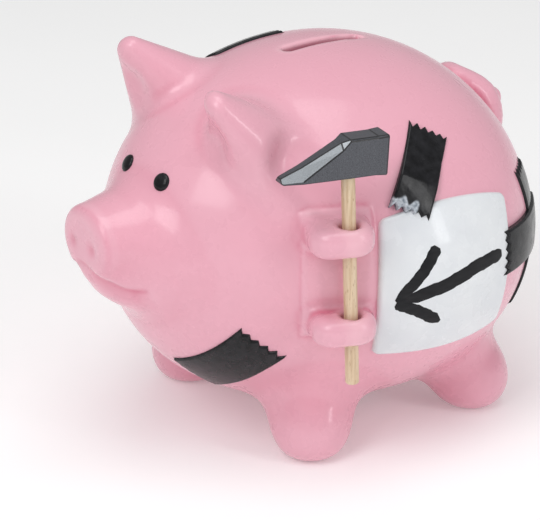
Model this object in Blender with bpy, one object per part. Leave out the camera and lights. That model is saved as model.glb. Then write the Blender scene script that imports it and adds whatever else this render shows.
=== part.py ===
"""Ceramic pig coin bank with a small hammer held in two lugs on its left flank."""
import bpy
import bmesh
import math
import numpy as np

# Lengths below are millimetres; every mesh is written out in metres.
# The pig's nose points to -Y, the hammer side is +X, the floor is z = 0.
MM = 0.001
GAP = 0.35
WALL = 4.6

# torso and head, two ellipsoids run together
TORSO_C = (0.0, 21.3, 74.0)
TORSO_R = (76.6, 62.4, 65.2)
HEAD_C = (0.0, -29.6, 78.0)
HEAD_R = (46.7, 50.7, 53.5)
HEAD_BLEND = 53.7
# legs
LEG_X = 40.0
LEG_FRONT_Y = -22.0
LEG_REAR_Y = 43.6
LEG_TOP = 22.2
LEG_R_TOP = 8.0
LEG_R_FOOT = 14.4
LEG_SPLAY_FRONT = -4.1
LEG_SPLAY_REAR = 5.9
LEG_BLEND = 19.0
SOLE_DEPTH = 2.7
SOLE_EDGE = 8.0
# snout and lower jaw: (y, z, radius) at the root and at the nose disc
SNOUT_ROOT = (-72.0, 83.5, 21.0)
SNOUT_TIP = (-98.0, 88.5, 13.4)
SNOUT_WIDTH = 1.12
SNOUT_EDGE = 4.5
JAW_C = (0.0, -76.5, 71.0)
JAW_R = (17.5, 14.0, 9.5)
# ears: a leaning cone with a hollowed front face
EAR_ROOT = (28.0, -28.0, 107.0)
EAR_TIP = (35.0, -53.5, 137.0)
EAR_R_ROOT = 21.0
EAR_R_TIP = 4.5
EAR_FACE = (26.0, -60.0, 129.0)
EAR_NORMAL = (-0.12, -0.91, -0.36)
EAR_SCOOP = 6.0
EAR_SCOOP_R = 12.0
EAR_BACK = (52.0, -34.0, 124.0)
EAR_BACK_R = 14.0
EAR_UNEVEN = 2.5
EAR_SPREAD = (0.82, 0.09, -0.57)
EAR_BROAD = 1.4
# eyes
EYE = (11.2, -71.2, 109.5)
EYE_R = 3.4
# curled tail
TAIL_PATH = (
    (3.0, 74.0, 88.0, 7.5),
    (4.0, 83.5, 96.0, 6.6),
    (2.0, 82.0, 107.0, 6.4),
    (-5.0, 74.0, 113.0, 6.2),
    (-12.5, 78.0, 111.0, 5.6),
    (-14.5, 87.5, 104.5, 5.2),
    (-11.5, 98.2, 98.6, 4.5),
)
# coin slot in the back
SLOT_Y = (-10.0, 25.8)
SLOT_W = 4.6
# drain hole under the belly and its plug
PLUG_Y = 10.0
HOLE_R = 11.5
PLUG_FLANGE_R = 14.5
PLUG_TOP = 11.3
PLUG_SEAT = 6.3
PLUG_BOTTOM = 4.8
# hammer: the handle leans forward a little on its way up
HANDLE_R = 2.5
HANDLE_FOOT = (70.0, -28.9, 41.6)
HANDLE_LEAN = -0.0369
HEAD_BOTTOM = 122.4
HEAD_TOP = 137.4
HAMMER_YAW = 8.0
HAMMER_PITCH = 3.0
HAMMER_POLL = 14.2
HAMMER_PEEN = -26.6
HAMMER_HALF = 4.6
# lugs the handle drops through
LUG_YAW = 22.0
LUG_OUT = 7.4
LUG_DEPTH = 27.0
LUG_FRONT = 14.5
LUG_REAR = 9.2
LUG_CORNER = 8.0
LUG_HOLE_R = 3.8
LUG_EDGE = 4.2
LUGS = ((98.0, 11.0), (63.4, 10.6))
# relief panel and taped strips: levels above the skin
LABEL_LEVELS = (GAP, 1.7)
TAPE_THICK = 0.8
OVER_LABEL = 1.7 + GAP
OVER_TAPE = TAPE_THICK + 2.0 * GAP

OFFSET = np.array([-0.87, -2.28, 0.0])


# ---------------------------------------------------------------- solid fields
def length(v):
    return np.sqrt((v * v).sum(-1))


def ellipsoid(p, c, r):
    q = p - np.array(c)
    r = np.array(r)
    k0 = length(q / r)
    k1 = length(q / (r * r))
    return k0 * (k0 - 1.0) / np.maximum(k1, 1e-9)


def smin(a, b, k):
    h = np.maximum(k - np.abs(a - b), 0.0) / k
    return np.minimum(a, b) - h * h * k * 0.25


def smax(a, b, k):
    return -smin(-a, -b, k)


def round_cone(p, a, b, r1, r2):
    a = np.array(a)
    b = np.array(b)
    ba = b - a
    l2 = ba @ ba
    rr = r1 - r2
    a2 = l2 - rr * rr
    il2 = 1.0 / l2
    pa = p - a
    y = pa @ ba
    z = y - l2
    x = pa * l2 - y[..., None] * ba
    x2 = (x * x).sum(-1)
    y2 = y * y * l2
    z2 = z * z * l2
    k = np.sign(rr) * rr * rr * x2
    side = (np.sqrt(np.maximum(x2 * a2 * il2, 0.0)) + y * rr) * il2 - r1
    side = np.where(np.sign(y) * a2 * y2 < k, np.sqrt(x2 + y2) * il2 - r1, side)
    return np.where(np.sign(z) * a2 * z2 > k, np.sqrt(x2 + z2) * il2 - r2, side)


def mirrored(p):
    q = p.copy()
    q[..., 0] = np.abs(q[..., 0])
    return q


def core(p):
    f = ellipsoid(p, TORSO_C, TORSO_R)
    return smin(f, ellipsoid(p, HEAD_C, HEAD_R), HEAD_BLEND)


def snout(p):
    y0, z0, r0 = SNOUT_ROOT
    y1, z1, r1 = SNOUT_TIP
    u = np.clip((p[..., 1] - y0) / (y1 - y0), -0.5, 1.4)
    s = u * u * (3.0 - 2.0 * np.clip(u, 0.0, 1.0)) * 0.5 + u * 0.5
    x = p[..., 0] / SNOUT_WIDTH
    z = p[..., 2] - z0 - (z1 - z0) * u
    cone = (np.sqrt(x * x + z * z) - r0 - (r1 - r0) * s) * 0.9
    disc = smax(cone, y1 - p[..., 1], SNOUT_EDGE)
    return smax(disc, p[..., 1] - y0 - 8.0, 6.0)


def legs(p):
    q = mirrored(p)
    pair = []
    for y, splay in ((LEG_FRONT_Y, LEG_SPLAY_FRONT), (LEG_REAR_Y, LEG_SPLAY_REAR)):
        foot = (LEG_X + 1.0, y + splay, LEG_R_FOOT * 0.8)
        leg = round_cone(q, (LEG_X, y, LEG_TOP), foot, LEG_R_TOP, LEG_R_FOOT)
        pair.append(smax(leg, -q[..., 2] - SOLE_DEPTH, SOLE_EDGE))
    return np.minimum(pair[0], pair[1])


def body(p):
    f = smin(core(p), ellipsoid(p, JAW_C, JAW_R), 9.0)
    low = 1.0 / (1.0 + np.exp((p[..., 2] - SNOUT_TIP[1]) / 5.0))
    f = smin(f, snout(p), 6.0 + 6.0 * low)
    return smin(f, legs(p), LEG_BLEND)


def cavity(p):
    return core(p) + WALL


def ear(p):
    q = mirrored(p)
    q[..., 2] += EAR_UNEVEN * np.tanh(p[..., 0] / 15.0)
    w = np.array(EAR_SPREAD) / np.sqrt(np.dot(EAR_SPREAD, EAR_SPREAD))
    across = (q - np.array(EAR_ROOT)) @ w
    flat = q - (across * (1.0 - 1.0 / EAR_BROAD))[..., None] * w
    cone = round_cone(flat, EAR_ROOT, EAR_TIP, EAR_R_ROOT, EAR_R_TIP)
    n = np.array(EAR_NORMAL)
    n = n / np.sqrt(n @ n)
    d = q - np.array(EAR_FACE)
    face = d @ n
    along = length(d - face[..., None] * n) / EAR_SCOOP_R
    face = face + EAR_SCOOP * np.exp(-along * along)
    hollow = EAR_BACK_R - length(q - np.array(EAR_BACK))
    return smax(smax(cone, face, 3.0), hollow, 6.0)


def smooth_path(points, steps=4):
    """Catmull-Rom curve through rows of numbers."""
    k = [np.array(q) for q in points]
    k = [2.0 * k[0] - k[1]] + k + [2.0 * k[-1] - k[-2]]
    out = []
    for i in range(1, len(k) - 2):
        for n in range(steps):
            t = n / steps
            a = 2.0 * k[i] + (k[i + 1] - k[i - 1]) * t
            b = (2.0 * k[i - 1] - 5.0 * k[i] + 4.0 * k[i + 1] - k[i + 2]) * t * t
            c = (3.0 * k[i] - k[i - 1] - 3.0 * k[i + 1] + k[i + 2]) * t * t * t
            out.append((a + b + c) * 0.5)
    return out + [k[-2]]


def tail(p):
    path = smooth_path(TAIL_PATH)
    f = np.full(p.shape[:-1], 1000.0)
    for a, b in zip(path[:-1], path[1:]):
        span = b[:3] - a[:3]
        t = np.clip(((p - a[:3]) @ span) / (span @ span), 0.0, 1.0)
        away = length(p - a[:3] - t[..., None] * span) - a[3] - (b[3] - a[3]) * t
        f = np.minimum(f, away)
    return f


def gradient(field, p, e=0.05):
    g = np.zeros(p.shape)
    for i in range(3):
        d = np.zeros(3)
        d[i] = e
        g[..., i] = (field(p + d) - field(p - d)) / (2.0 * e)
    return g


def settle(field, p, level=0.0, rounds=6):
    """Move points along the slope of a field until they lie on one of its levels."""
    for _ in range(rounds):
        g = gradient(field, p)
        p = p - ((field(p) - level) / np.maximum((g * g).sum(-1), 1e-6))[..., None] * g
    return p


# ---------------------------------------------------------------- mesh makers
def net(field, xs, ys, zs):
    """Closed quad skin of a field's zero level on a grid with uneven spacing."""
    axes = (np.array(xs), np.array(ys), np.array(zs))
    grid = np.stack(np.meshgrid(*axes, indexing="ij"), -1)
    val = field(grid)
    inside = val < 0.0
    n = np.array(val.shape) - 1
    total = np.zeros((*n, 3))
    count = np.zeros(n)
    for ax in range(3):
        lo = [slice(None)] * 3
        hi = [slice(None)] * 3
        lo[ax] = slice(0, -1)
        hi[ax] = slice(1, None)
        va = val[tuple(lo)]
        vb = val[tuple(hi)]
        cross = inside[tuple(lo)] != inside[tuple(hi)]
        t = np.where(cross, va / np.where(cross, va - vb, 1.0), 0.0)
        pos = grid[tuple(lo)] + (grid[tuple(hi)] - grid[tuple(lo)]) * t[..., None]
        o1, o2 = [a for a in range(3) if a != ax]
        for i in (0, 1):
            for j in (0, 1):
                cut = [slice(None)] * 3
                cut[o1] = slice(i, i + n[o1])
                cut[o2] = slice(j, j + n[o2])
                c = cross[tuple(cut)]
                total += pos[tuple(cut)] * c[..., None]
                count += c
    used = count > 0
    index = np.full(tuple(n), -1)
    index[used] = np.arange(used.sum())
    verts = total[used] / count[used][:, None]
    faces = []
    for ax in range(3):
        o1 = (ax + 1) % 3
        o2 = (ax + 2) % 3
        lo = [slice(None)] * 3
        hi = [slice(None)] * 3
        lo[ax] = slice(0, -1)
        hi[ax] = slice(1, None)
        a_in = inside[tuple(lo)]
        cells = np.argwhere(a_in != inside[tuple(hi)])
        e1 = np.zeros(3, int)
        e2 = np.zeros(3, int)
        e1[o1] = 1
        e2[o2] = 1
        quad = np.stack(
            [index[tuple((cells + k).T)] for k in (-e1 - e2, -e2, np.zeros(3, int), -e1)], 1
        )
        flip = ~a_in[tuple(cells.T)]
        quad[flip] = quad[flip][:, ::-1]
        faces.append(quad)
    return settle(field, verts, rounds=3), np.concatenate(faces)


def spaced(lo, hi, step, fine=(), fine_step=0.0):
    """Grid lines from lo to hi, closer together inside each (from, to) of fine."""
    out = [lo]
    while out[-1] < hi:
        s = step
        for a, b in fine:
            if a <= out[-1] <= b:
                s = fine_step
        out.append(out[-1] + s)
    return out


def lathe(profile, centre, axis=(0.0, 0.0, 1.0), sides=32, closed=False):
    """Turn a list of (radius, height) about an axis. closed joins last row to first."""
    z = np.array(axis) / np.sqrt(np.dot(axis, axis))
    x = np.cross((0.0, 1.0, 0.0), z)
    x = x / np.sqrt(x @ x)
    y = np.cross(z, x)
    c = np.array(centre)
    verts = []
    rows = []
    for r, h in profile:
        if r <= 0.0:
            rows.append([len(verts)] * sides)
            verts.append(c + z * h)
            continue
        rows.append(list(range(len(verts), len(verts) + sides)))
        for k in range(sides):
            a = 2.0 * math.pi * k / sides
            verts.append(c + z * h + (x * math.cos(a) + y * math.sin(a)) * r)
    if closed:
        rows.append(rows[0])
    faces = []
    for low, high in zip(rows[:-1], rows[1:]):
        for k in range(sides):
            m = (k + 1) % sides
            ring = [low[k], low[m], high[m], high[k]]
            ring = [v for i, v in enumerate(ring) if v not in ring[:i]]
            faces.append(ring)
    return np.array(verts), faces


def corner(cr, ch, r, start, steps=4):
    """Quarter circle of a turned profile, angles in degrees."""
    out = []
    for k in range(steps + 1):
        a = math.radians(start + 90.0 * k / steps)
        out.append((cr + r * math.cos(a), ch + r * math.sin(a)))
    return out


def panel(chart, nu, nv, levels, thick):
    """Solid strip lying over the skin. chart(s, t) gives a point near the skin.

    levels holds the height of the underside at the start, a third, two thirds and the end.
    """
    s, t = np.meshgrid(np.linspace(0.0, 1.0, nu), np.linspace(0.0, 1.0, nv), indexing="ij")
    near = chart(s, t)
    under = np.interp(s, (0.0, 0.33, 0.66, 1.0), levels)
    low = settle(body, near, under, 12)
    top = settle(body, near, under + thick, 12)
    verts = np.concatenate([low.reshape(-1, 3), top.reshape(-1, 3)])
    m = nu * nv
    ids = np.arange(m).reshape(nu, nv)
    quads = []
    for i in range(nu - 1):
        for j in range(nv - 1):
            a, b, c, d = ids[i, j], ids[i + 1, j], ids[i + 1, j + 1], ids[i, j + 1]
            quads.append([a, d, c, b])
            quads.append([a + m, b + m, c + m, d + m])
    rim = list(ids[:, 0]) + list(ids[-1, 1:]) + list(ids[-2::-1, -1]) + list(ids[0, -2:0:-1])
    for k, a in enumerate(rim):
        b = rim[(k + 1) % len(rim)]
        quads.append([a, b, b + m, a + m])
    return verts, quads


def box(lo, hi):
    v = [(x, y, z) for x in (lo[0], hi[0]) for y in (lo[1], hi[1]) for z in (lo[2], hi[2])]
    f = [(0, 1, 3, 2), (4, 6, 7, 5), (0, 4, 5, 1), (2, 3, 7, 6), (0, 2, 6, 4), (1, 5, 7, 3)]
    return np.array(v), f


def stadium(y0, y1, width, z0, z1, steps=10):
    """Upright prism with rounded ends along y, centred on x = 0."""
    r = width * 0.5
    ring = []
    for k in range(steps + 1):
        a = math.pi * k / steps
        ring.append((r * math.cos(a), y1 - r + r * math.sin(a)))
    for k in range(steps + 1):
        a = math.pi + math.pi * k / steps
        ring.append((r * math.cos(a), y0 + r + r * math.sin(a)))
    n = len(ring)
    v = [(x, y, z0) for x, y in ring] + [(x, y, z1) for x, y in ring]
    f = [list(range(n))[::-1], list(range(n, 2 * n))]
    for k in range(n):
        m = (k + 1) % n
        f.append([k, m, m + n, k + n])
    return np.array(v), f


# ---------------------------------------------------------------- scene helpers
def material(name, colour, rough, metallic=0.0, coat=0.0):
    m = bpy.data.materials.new(name)
    m.use_nodes = True
    b = m.node_tree.nodes["Principled BSDF"]
    b.inputs["Base Color"].default_value = (*colour, 1.0)
    b.inputs["Roughness"].default_value = rough
    b.inputs["Metallic"].default_value = metallic
    b.inputs["Coat Weight"].default_value = coat
    return m


def add(name, verts, faces, mat, smooth=True, origin=(0.0, 0.0, 0.0)):
    """New object from millimetre data; origin is the object's own zero, pig frame."""
    o = np.array(origin)
    mesh = bpy.data.meshes.new(name)
    mesh.from_pydata([tuple(v) for v in (np.array(verts) - o) * MM], [], [list(map(int, f)) for f in faces])
    bm = bmesh.new()
    bm.from_mesh(mesh)
    bmesh.ops.recalc_face_normals(bm, faces=bm.faces)
    bm.to_mesh(mesh)
    bm.free()
    mesh.materials.append(mat)
    mesh.polygons.foreach_set("use_smooth", [smooth] * len(mesh.polygons))
    ob = bpy.data.objects.new(name, mesh)
    ob.location = [float(v) for v in (o + OFFSET) * MM]
    bpy.context.scene.collection.objects.link(ob)
    return ob


def cutter(name, verts, faces):
    ob = add(name, verts, faces, CUT)
    ob.hide_render = True
    ob.display_type = "WIRE"
    return ob


def cut(ob, tool, kind="DIFFERENCE"):
    m = ob.modifiers.new("cut_" + tool.name, "BOOLEAN")
    m.operation = kind
    m.solver = "EXACT"
    m.object = tool


# ---------------------------------------------------------------- start clean
for old in list(bpy.data.objects):
    bpy.data.objects.remove(old, do_unlink=True)

PINK = (0.83, 0.40, 0.47)
CUT = material("cut_face", PINK, 0.5)

# ---------------------------------------------------------------- ceramic shell
xs = spaced(-82.0, 82.0, 6.6)
ys = spaced(-102.0, 94.0, 6.6, ((-102.0, -72.0),), 4.2)
zs = spaced(-5.0, 150.0, 6.6, ((-5.0, 12.0),), 4.0)
skin_v, skin_f = net(body, xs, ys, zs)
shell = add("body_shell", skin_v, skin_f, material("pink_glaze", PINK, 0.18, coat=0.4))
room_v, room_f = net(cavity, spaced(-84.0, 84.0, 10.0), spaced(-90.0, 94.0, 10.0), spaced(0.0, 150.0, 10.0))
cut(shell, cutter("cut_chamber", room_v, room_f))
cut(shell, cutter("cut_slot", *stadium(SLOT_Y[0], SLOT_Y[1], SLOT_W, 120.0, 152.0)))
hole = [(0.0, -2.0), (HOLE_R, -2.0), (HOLE_R, 26.0), (0.0, 26.0)]
cut(shell, cutter("cut_drain", *lathe(hole, (0.0, PLUG_Y, 0.0), sides=36)))
cut(shell, cutter("cut_floor", *box((-90.0, -110.0, -30.0), (90.0, 110.0, 0.0))))

# the outside of the shell, pushed out by the fitting gap, trims whatever sits on it
slope = gradient(body, skin_v)
slope = slope / np.maximum(length(slope)[:, None], 1e-9)
trim = cutter("cut_skin", skin_v + slope * GAP, skin_f)

# ---------------------------------------------------------------- ears and tail
for side, name in ((1.0, "ear_left"), (-1.0, "ear_right")):
    span = (0.0, 64.0) if side > 0 else (-64.0, 0.0)

    def one_ear(p):
        return np.maximum(ear(p), 2.0 - side * p[..., 0])

    v, f = net(one_ear, spaced(*span, 3.8), spaced(-70.0, 8.0, 3.8), spaced(74.0, 156.0, 3.8))
    cut(add(name, v, f, material(name + "_glaze", PINK, 0.18, coat=0.4)), trim)
v, f = net(tail, spaced(-25.0, 16.0, 2.9), spaced(60.0, 108.0, 2.9), spaced(76.0, 124.0, 2.9))
cut(add("tail", v, f, material("tail_glaze", PINK, 0.18, coat=0.4)), trim)

# ---------------------------------------------------------------- eyes
EYE_STAND = 1.9
for side, name in ((1.0, "eye_left"), (-1.0, "eye_right")):
    c = settle(body, np.array([[EYE[0] * side, EYE[1], EYE[2]]]))[0]
    n = gradient(body, c[None])[0]
    turn = [math.radians(a) for a in range(-90, 91, 18)]
    dome = [(EYE_R * math.cos(a), EYE_STAND * math.sin(a)) for a in turn]
    dome[0] = (0.0, -EYE_STAND)
    dome[-1] = (0.0, EYE_STAND)
    v, f = lathe(dome, c, n, 20)
    cut(add(name, v, f, material(name + "_black", (0.012, 0.012, 0.013), 0.1, coat=0.6)), trim)


# ---------------------------------------------------------------- lugs
def handle_at(z):
    x, y, z0 = HANDLE_FOOT
    return (x, y + (z - z0) * HANDLE_LEAN, z)


def lug_block(z, height):
    """Rounded block turned to face out of the flank; its edges are drawn in by LUG_EDGE."""
    half = height * 0.5
    edge = [(r, h) for r, h in corner(-LUG_EDGE, half - LUG_EDGE, LUG_EDGE, 0.0, 3)]
    rows = [(r, -h) for r, h in reversed(edge)] + edge
    c = math.cos(math.radians(LUG_YAW))
    s = math.sin(math.radians(LUG_YAW))
    middle = (LUG_OUT - LUG_DEPTH * 0.5, (LUG_REAR - LUG_FRONT) * 0.5)
    reach = (LUG_DEPTH * 0.5 - LUG_CORNER, (LUG_REAR + LUG_FRONT) * 0.5 - LUG_CORNER)
    axis = np.array(handle_at(z))
    verts = []
    for r, h in rows:
        for k, (sx, sy) in enumerate(((1, 1), (-1, 1), (-1, -1), (1, -1))):
            for px, py in corner(0.0, 0.0, LUG_CORNER + r, 90.0 * k, 4):
                out = middle[0] + sx * reach[0] + px
                along = middle[1] + sy * reach[1] + py
                verts.append(axis + (out * c + along * s, along * c - out * s, h))
    n = len(verts) // len(rows)
    faces = [list(range(n)), list(range(len(verts) - n, len(verts)))]
    for row in range(len(rows) - 1):
        for k in range(n):
            m = (k + 1) % n
            faces.append([row * n + k, row * n + m, row * n + n + m, row * n + n + k])
    return verts, faces


lean = (0.0, HANDLE_LEAN, 1.0)
bore = [(0.0, -20.0), (LUG_HOLE_R, -20.0), (LUG_HOLE_R, 20.0), (0.0, 20.0)]
for (z, height), name in zip(LUGS, ("hammer_lug_upper", "hammer_lug_lower")):
    ob = add(name, *lug_block(z, height), material(name + "_glaze", PINK, 0.18, coat=0.4))
    cut(ob, cutter("cut_" + name, *lathe(bore, handle_at(z), lean, 20)))
    cut(ob, trim)


# ---------------------------------------------------------------- label panel
def label_chart(s, t):
    """s runs back along the flank, t runs up; the upper edge is crowned, the front one bowed."""
    foot = np.array([[62.5, -15.2, 46.5], [68.5, 38.0, 49.0]])
    head = np.array([[65.0, -14.8, 99.6], [67.5, 40.0, 98.4]])
    low = foot[0] + (foot[1] - foot[0]) * s[..., None]
    high = head[0] + (head[1] - head[0]) * s[..., None]
    p = low + (high - low) * t[..., None]
    waist = 4.0 * t * (1.0 - t)
    belly = 4.0 * s * (1.0 - s)
    p[..., 1] -= waist * np.where(s < 0.5, 2.0, 1.6) * np.abs(2.0 * s - 1.0)
    p[..., 2] += belly * np.where(t < 0.5, -0.5, 2.6) * np.abs(2.0 * t - 1.0)
    p[..., 0] += 4.0 * waist
    return p


v, f = panel(label_chart, 10, 10, [LABEL_LEVELS[0]] * 4, LABEL_LEVELS[1] - LABEL_LEVELS[0])
add("label_panel", v, f, material("label_white", (0.80, 0.82, 0.84), 0.2, coat=0.4))


# ---------------------------------------------------------------- taped strips
TEETH = 5.0
STRIP_BOW = 6.0


def strip(start, end, half, teeth_start, teeth_end):
    """Chart of a strip between two points near the skin, with saw-cut ends."""
    a = np.array(start)
    b = np.array(end)

    def chart(s, t):
        along = b - a
        mid = settle(body, (a + b)[None] * 0.5)[0]
        n = gradient(body, mid[None])[0]
        side = np.cross(n, along)
        side = side / np.sqrt(side @ side)
        unit = along / np.sqrt(along @ along)
        saw = np.abs((t * TEETH) % 1.0 - 0.5) * 2.0
        push = saw * (teeth_end * (s > 0.999) - teeth_start * (s < 0.001))
        across = (t - 0.5) * 2.0 * half
        lift = STRIP_BOW * 4.0 * s * (1.0 - s)
        p = a + along * s[..., None] + side * across[..., None]
        return p + unit * push[..., None] + n * lift[..., None]

    return chart


BLACK = (0.014, 0.014, 0.016)
FLAT = (GAP,) * 4
ONTO_LABEL = (GAP, GAP, OVER_LABEL, OVER_LABEL)
OFF_LABEL = (OVER_LABEL, OVER_LABEL, OVER_TAPE, OVER_TAPE)
# name, start, end, half width, teeth at the start and at the end, heights of the underside
STRIPS = (
    ("tape_flank", (53.4, 15.9, 123.0), (67.7, -3.3, 100.9), 7.7, 2.8, 2.4, ONTO_LABEL),
    ("tape_chest", (12.4, -59.3, 30.3), (44.4, -50.5, 53.1), 10.5, 1.0, 2.8, FLAT),
    ("tape_rump_upright", (54.0, 60.0, 100.0), (55.0, 62.0, 45.0), 8.0, 2.6, 2.6, FLAT),
    ("tape_rump_cross", (74.0, 35.3, 77.9), (46.0, 68.0, 76.0), 8.2, 2.4, 2.4, OFF_LABEL),
    ("tape_back", (-33.0, -20.0, 133.0), (-29.5, 6.0, 138.8), 8.3, 2.6, 2.6, FLAT),
)
for name, a, b, half, t0, t1, levels in STRIPS:
    v, f = panel(strip(a, b, half, t0, t1), 7, 11, levels, TAPE_THICK)
    add(name, v, f, material(name + "_black", BLACK, 0.12, coat=0.5), smooth=False)

# ---------------------------------------------------------------- drain plug
plug = [(0.0, PLUG_BOTTOM), (PLUG_FLANGE_R - 1.0, PLUG_BOTTOM), (PLUG_FLANGE_R, PLUG_BOTTOM + 0.8)]
plug += [(PLUG_FLANGE_R, PLUG_SEAT - 0.2), (PLUG_FLANGE_R - 0.4, PLUG_SEAT), (HOLE_R - GAP, PLUG_SEAT)]
plug += [(HOLE_R - GAP, PLUG_TOP - 1.0), (HOLE_R - GAP - 1.0, PLUG_TOP), (0.0, PLUG_TOP)]
v, f = lathe(plug, (0.0, PLUG_Y, 0.0), sides=36)
add("base_plug", v, f, material("plug_rubber", (0.55, 0.55, 0.53), 0.65), origin=(0.0, PLUG_Y, PLUG_BOTTOM))

# ---------------------------------------------------------------- hammer
foot = np.array(HANDLE_FOOT)
up = np.array(lean) / np.sqrt(np.dot(lean, lean))
reach = (HEAD_TOP - 2.0 - HANDLE_FOOT[2]) / up[2]
stick = [(0.0, 0.0), (HANDLE_R - 0.5, 0.0), (HANDLE_R, 0.5), (HANDLE_R, reach - 0.4)]
stick += [(HANDLE_R - 0.4, reach), (0.0, reach)]
v, f = lathe(stick, foot, lean, 24)
add("hammer_handle", v, f, material("beech", (0.70, 0.53, 0.34), 0.6), origin=HANDLE_FOOT)

yaw = math.radians(HAMMER_YAW)
fore = np.array([math.sin(yaw), math.cos(yaw), -math.tan(math.radians(HAMMER_PITCH))])
fore = fore / np.sqrt(fore @ fore)
wide = np.cross(fore, up)
wide = wide / np.sqrt(wide @ wide)
tall = np.cross(wide, fore)
eye_c = np.array(handle_at((HEAD_BOTTOM + HEAD_TOP) * 0.5))
hh = (HEAD_TOP - HEAD_BOTTOM) * 0.5
w = HAMMER_HALF
rings = (
    (HAMMER_POLL, -hh + 0.5, hh - 0.5, w - 0.5, w - 0.5),
    (HAMMER_POLL - 0.6, -hh, hh, w, w),
    (HAMMER_POLL - 4.4, -hh + 0.3, hh - 0.3, w - 0.3, w - 0.3),
    (-2.5, -hh + 0.3, hh - 0.3, w - 0.3, w - 0.3),
    (HAMMER_PEEN + 6.0, -hh + 0.2, -hh + 5.2, w - 0.6, w - 2.0),
    (HAMMER_PEEN, -hh + 0.6, -hh + 2.8, w - 2.2, w - 3.0),
)
verts = []
for along, z0, z1, w0, w1 in rings:
    for a, b in ((w0, z0), (w1, z1), (-w1, z1), (-w0, z0)):
        verts.append(eye_c + fore * along + wide * a + tall * b)
faces = [[0, 1, 2, 3], [4 * len(rings) - 4 + k for k in (3, 2, 1, 0)]]
for k in range(len(rings) - 1):
    for m in range(4):
        n = (m + 1) % 4
        faces.append([4 * k + m, 4 * k + 4 + m, 4 * k + 4 + n, 4 * k + n])
steel = material("head_lacquer", (0.10, 0.105, 0.12), 0.4, 0.6)
head = add("hammer_head", np.array(verts), faces, steel, smooth=False, origin=HANDLE_FOOT)
eye = [(0.0, -3.0), (HANDLE_R + GAP, -3.0), (HANDLE_R + GAP, reach + GAP), (0.0, reach + GAP)]
cut(head, cutter("cut_head_eye", *lathe(eye, foot, lean, 24)))
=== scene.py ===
"""Looks of the pig coin bank: fused glazed skin, panel, strips, eyes, hammer and plug."""
import math

import bpy
import bmesh
import numpy as np
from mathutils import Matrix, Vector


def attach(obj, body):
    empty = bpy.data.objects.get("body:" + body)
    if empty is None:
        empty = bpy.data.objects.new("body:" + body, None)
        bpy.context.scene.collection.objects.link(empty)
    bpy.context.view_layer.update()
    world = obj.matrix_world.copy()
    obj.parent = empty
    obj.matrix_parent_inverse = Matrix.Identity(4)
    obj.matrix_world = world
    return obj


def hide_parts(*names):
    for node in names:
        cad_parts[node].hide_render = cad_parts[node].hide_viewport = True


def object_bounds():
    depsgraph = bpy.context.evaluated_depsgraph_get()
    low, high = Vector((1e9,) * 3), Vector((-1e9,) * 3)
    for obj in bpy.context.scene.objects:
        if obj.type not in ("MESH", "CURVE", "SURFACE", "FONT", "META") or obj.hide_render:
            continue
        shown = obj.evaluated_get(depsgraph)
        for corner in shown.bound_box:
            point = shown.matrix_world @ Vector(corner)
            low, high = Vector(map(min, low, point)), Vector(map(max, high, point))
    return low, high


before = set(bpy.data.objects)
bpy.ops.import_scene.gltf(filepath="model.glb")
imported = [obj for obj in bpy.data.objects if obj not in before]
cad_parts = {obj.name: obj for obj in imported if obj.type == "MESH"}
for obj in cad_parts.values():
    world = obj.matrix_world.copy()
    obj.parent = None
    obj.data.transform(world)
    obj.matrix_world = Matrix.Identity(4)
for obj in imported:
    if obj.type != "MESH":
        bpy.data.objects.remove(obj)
CAD_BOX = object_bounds()
CAD_LOW, CAD_HIGH = [np.array(tuple(c)) * 1000.0 for c in CAD_BOX]

# Lengths are millimetres in the pig's own frame: mid-plane x = 0, nose towards -Y,
# hammer side +X, floor z = 0. OFFSET carries them into the frame of the CAD.
MM = 0.001
OFFSET = np.array([-0.87, -2.28, 0.0])
CELL = 1.35
ROOM_CELL = 4.0
WALL = 4.6

TORSO_C = (0.0, 21.3, 74.0)
TORSO_R = (76.6, 62.4, 65.2)
HEAD_C = (0.0, -29.6, 78.0)
HEAD_R = (46.7, 50.7, 53.5)
HEAD_BLEND = 53.7
LEG_X = 40.0
LEG_FRONT_Y = -22.0
LEG_REAR_Y = 43.6
LEG_TOP = 22.2
LEG_R_TOP = 8.0
LEG_R_FOOT = 14.4
LEG_SPLAY_FRONT = -4.1
LEG_SPLAY_REAR = 5.9
LEG_BLEND = 19.0
SOLE_DEPTH = 2.7
SOLE_EDGE = 8.0
SNOUT_ROOT = (-72.0, 83.5, 21.0)
SNOUT_TIP = (-98.0, 88.5, 13.4)
SNOUT_WIDTH = 1.12
SNOUT_EDGE = 4.5
JAW_C = (0.0, -76.5, 71.0)
JAW_R = (17.5, 14.0, 9.5)
EAR_ROOT = (28.0, -28.0, 107.0)
EAR_TIP = (34.0, -57.5, 139.5)
EAR_R_ROOT = 22.0
EAR_R_TIP = 4.5
EAR_FACE = (26.0, -63.0, 129.0)
EAR_NORMAL = (-0.12, -0.91, -0.36)
EAR_SCOOP = 7.5
EAR_SCOOP_R = 12.0
EAR_BACK = (52.0, -34.0, 124.0)
EAR_BACK_R = 14.0
EAR_UNEVEN = 2.5
EAR_SPREAD = (0.82, 0.09, -0.57)
EAR_BROAD = 1.4
EAR_BLEND = 4.5
EAR_FRONT_BLEND = 1.5
EYE = (11.2, -71.2, 109.5)
EYE_R = 3.4
NOSTRIL = (6.4, -98.0, 87.6)
NOSTRIL_R = 2.3
NOSTRIL_DENT = 0.6
MOUTH_STEPS = 12
MOUTH_HALF = 19.5
MOUTH_FRONT_Y = -98.0
MOUTH_DEPTH = 14.0
MOUTH_Z = 80.2
MOUTH_DROP = 9.2
MOUTH_GROOVE = 0.8
MOUTH_LIP = 0.8
MOUTH_REACH_Y = -74.0
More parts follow.
